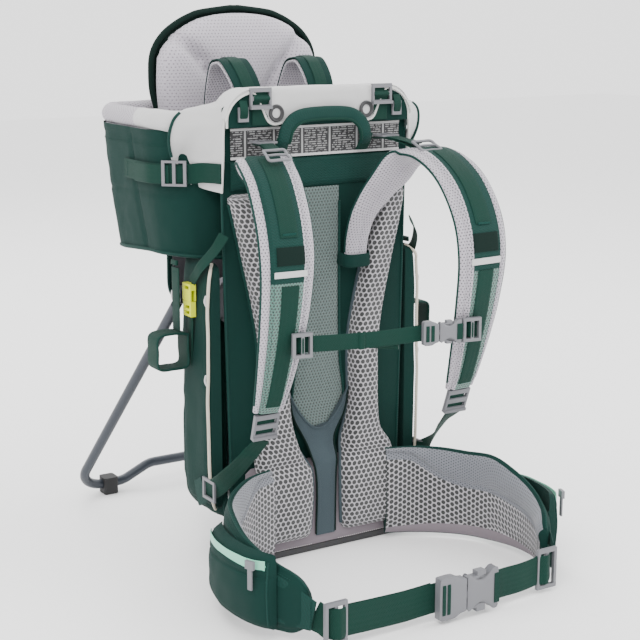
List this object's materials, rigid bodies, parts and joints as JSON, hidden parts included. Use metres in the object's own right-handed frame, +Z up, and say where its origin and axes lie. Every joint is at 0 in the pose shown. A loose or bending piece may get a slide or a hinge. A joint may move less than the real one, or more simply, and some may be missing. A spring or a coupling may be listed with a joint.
{
  "type": "baby carrier backpack",
  "caption": "Framed backpack for carrying a child: padded cockpit with head rest, mesh back panel, shoulder straps, hip belt with pockets and a fold-out kickstand.",
  "frame": {"origin": "on the flat sole of the base shoe, at Z 0 where the pack stands, below the middle of the back panel", "axes": "+Z up; +Y from the wearer's back towards the child and the kickstand; +X to the right as seen by someone facing the back panel"},
  "size_m": [0.475, 0.664, 0.708],
  "materials": {
    "dark_green_fabric": "woven, matt",
    "green_webbing": "ribbed webbing",
    "grey_mesh": "perforated spacer mesh",
    "green_net": "fine net",
    "pale_cloth": "woven, matt",
    "grey_cloth": "woven, matt",
    "cushion_mesh": "padded perforated mesh",
    "panel_sheet": "satin coated sheet",
    "stiffener": "matt",
    "grey_plastic": "moulded, satin",
    "dark_plastic": "moulded, satin",
    "yellow_plastic": "moulded, satin",
    "red_plastic": "moulded, satin",
    "painted_tube": "powder coat",
    "bare_tube": "anodised",
    "steel": "brushed",
    "rubber": "matt",
    "mint_zip": "coated tape"
  },
  "bodies": {
    "pack": {"back_cloth": "dark_green_fabric", "back_pads": "grey_mesh", "back_plate": "stiffener", "base_shoe": "rubber", "canopy_sockets": "dark_plastic", "centre_mesh": "green_net", "cockpit_hoop": "bare_tube", "frame_cross_bars": "bare_tube", "frame_uprights": "bare_tube", "front_cover": "pale_cloth", "harness_buckle": "dark_plastic", "harness_webs": "green_webbing", "hinge_brackets": "dark_plastic", "hip_adjusters": "grey_plastic", "hip_buckle_female": "grey_plastic", "hip_fins": "dark_green_fabric", "hip_pockets": "dark_green_fabric", "hip_webs": "green_webbing", "hip_zips": "mint_zip", "label_panel": "panel_sheet", "lower_bag": "dark_green_fabric", "lower_webs": "green_webbing", "lumbar_core": "grey_cloth", "lumbar_cushions": "grey_mesh", "pivot_pins": "steel", "rim_pad": "cushion_mesh", "seat_pad": "dark_green_fabric", "seat_shell": "dark_plastic", "shoulder_strap_left": "dark_green_fabric", "shoulder_strap_right": "dark_green_fabric", "side_buckles": "yellow_plastic", "spine_channel": "grey_cloth", "stabiliser_webs": "green_webbing", "strap_glides": "grey_plastic", "top_locks": "grey_plastic", "tub_shell": "dark_green_fabric", "web_rings": "grey_plastic", "yoke_panel": "dark_green_fabric"},
    "kickstand": {"kickstand_tube": "painted_tube", "kickstand_feet": "rubber"},
    "headrest": {"headrest_pad": "cushion_mesh", "headrest_shell": "dark_green_fabric"},
    "haul_handle": {"haul_handle": "dark_green_fabric"},
    "hip_release": {"hip_buckle_male": "grey_plastic"},
    "hip_prong_up": {"hip_buckle_prong_upper": "grey_plastic"},
    "hip_prong_down": {"hip_buckle_prong_lower": "grey_plastic"},
    "chest_strap": {"chest_sliders": "grey_plastic", "chest_webs": "green_webbing", "chest_buckle_female": "grey_plastic"},
    "chest_release": {"chest_buckle_male": "grey_plastic"},
    "chest_prong_up": {"chest_buckle_prong_upper": "grey_plastic"},
    "chest_prong_down": {"chest_buckle_prong_lower": "grey_plastic"},
    "harness_button": {"harness_button": "red_plastic"},
    "zip_pull_left": {"zip_pull_left": "grey_plastic"},
    "stirrup_left": {"stirrup_left": "dark_green_fabric"},
    "strap_lock_left": {"strap_lock_left": "grey_plastic"},
    "zip_pull_right": {"zip_pull_right": "grey_plastic"},
    "stirrup_right": {"stirrup_right": "dark_green_fabric"},
    "strap_lock_right": {"strap_lock_right": "grey_plastic"}
  },
  "joints": [
    {"name": "kickstand_fold", "type": "hinge", "parent": "pack", "child": "kickstand", "pos_m": [0, 0.1, 0.345], "axis": [1, 0, 0], "range_deg": [-30, 0]},
    {"name": "headrest_height", "type": "slide", "parent": "pack", "child": "headrest", "axis": [0, 0, 1], "range_m": [0, 0.06]},
    {"name": "haul_handle_swing", "type": "hinge", "parent": "pack", "child": "haul_handle", "pos_m": [0, -0.002, 0.536], "axis": [1, 0, 0], "range_deg": [0, 60]},
    {"name": "hip_buckle_release", "type": "slide", "parent": "pack", "child": "hip_release", "axis": [-1, 0, 0], "range_m": [0, 0.045]},
    {"name": "hip_prong_up", "type": "hinge", "parent": "hip_release", "child": "hip_prong_up", "pos_m": [0.0235, -0.29, 0.049], "axis": [0, 1, 0], "range_deg": [0, 5], "stiffness_Nm_per_rad": 0.5},
    {"name": "hip_prong_down", "type": "hinge", "parent": "hip_release", "child": "hip_prong_down", "pos_m": [0.0235, -0.29, 0.013], "axis": [0, 1, 0], "range_deg": [-5, 0], "stiffness_Nm_per_rad": 0.5},
    {"name": "chest_strap_height", "type": "slide", "parent": "pack", "child": "chest_strap", "axis": [0, -0.251, 0.968], "range_m": [-0.012, 0.01]},
    {"name": "chest_buckle_release", "type": "slide", "parent": "chest_strap", "child": "chest_release", "axis": [-0.9866, 0.1631, 0], "range_m": [0, 0.028]},
    {"name": "chest_prong_up", "type": "hinge", "parent": "chest_release", "child": "chest_prong_up", "pos_m": [0.06818, -0.16905, 0.3304], "axis": [0.1631, 0.9866, 0], "range_deg": [0, 5], "stiffness_Nm_per_rad": 0.3},
    {"name": "chest_prong_down", "type": "hinge", "parent": "chest_release", "child": "chest_prong_down", "pos_m": [0.06818, -0.16905, 0.3096], "axis": [0.1631, 0.9866, 0], "range_deg": [-5, 0], "stiffness_Nm_per_rad": 0.3},
    {"name": "harness_button_press", "type": "slide", "parent": "pack", "child": "harness_button", "axis": [0, 1, 0], "range_m": [0, 0.004], "stiffness_N_per_m": 400},
    {"name": "zip_left", "type": "hinge", "parent": "pack", "child": "zip_pull_left", "pos_m": [-0.062, -0.165, 0.096], "axis": [0, 0, -1], "range_deg": [0, 36]},
    {"name": "stirrup_swing_left", "type": "hinge", "parent": "pack", "child": "stirrup_left", "pos_m": [-0.1772, 0.062, 0.388], "axis": [0, 1, 0], "range_deg": [0, 55]},
    {"name": "strap_lock_tilt_left", "type": "hinge", "parent": "pack", "child": "strap_lock_left", "pos_m": [-0.13504, -0.08992, 0.21185], "axis": [-1, 0, 0], "range_deg": [0, 35]},
    {"name": "zip_right", "type": "hinge", "parent": "pack", "child": "zip_pull_right", "pos_m": [0.062, -0.165, 0.096], "axis": [0, 0, 1], "range_deg": [0, 36]},
    {"name": "stirrup_swing_right", "type": "hinge", "parent": "pack", "child": "stirrup_right", "pos_m": [0.1772, 0.062, 0.388], "axis": [0, -1, 0], "range_deg": [0, 55]},
    {"name": "strap_lock_tilt_right", "type": "hinge", "parent": "pack", "child": "strap_lock_right", "pos_m": [0.13501, -0.11796, 0.21239], "axis": [-1, 0, 0], "range_deg": [0, 35]}
  ],
  "couplings": [
    {"joint": "hip_prong_down", "follows": "hip_prong_up", "ratio": -1},
    {"joint": "chest_prong_down", "follows": "chest_prong_up", "ratio": -1}
  ]
}
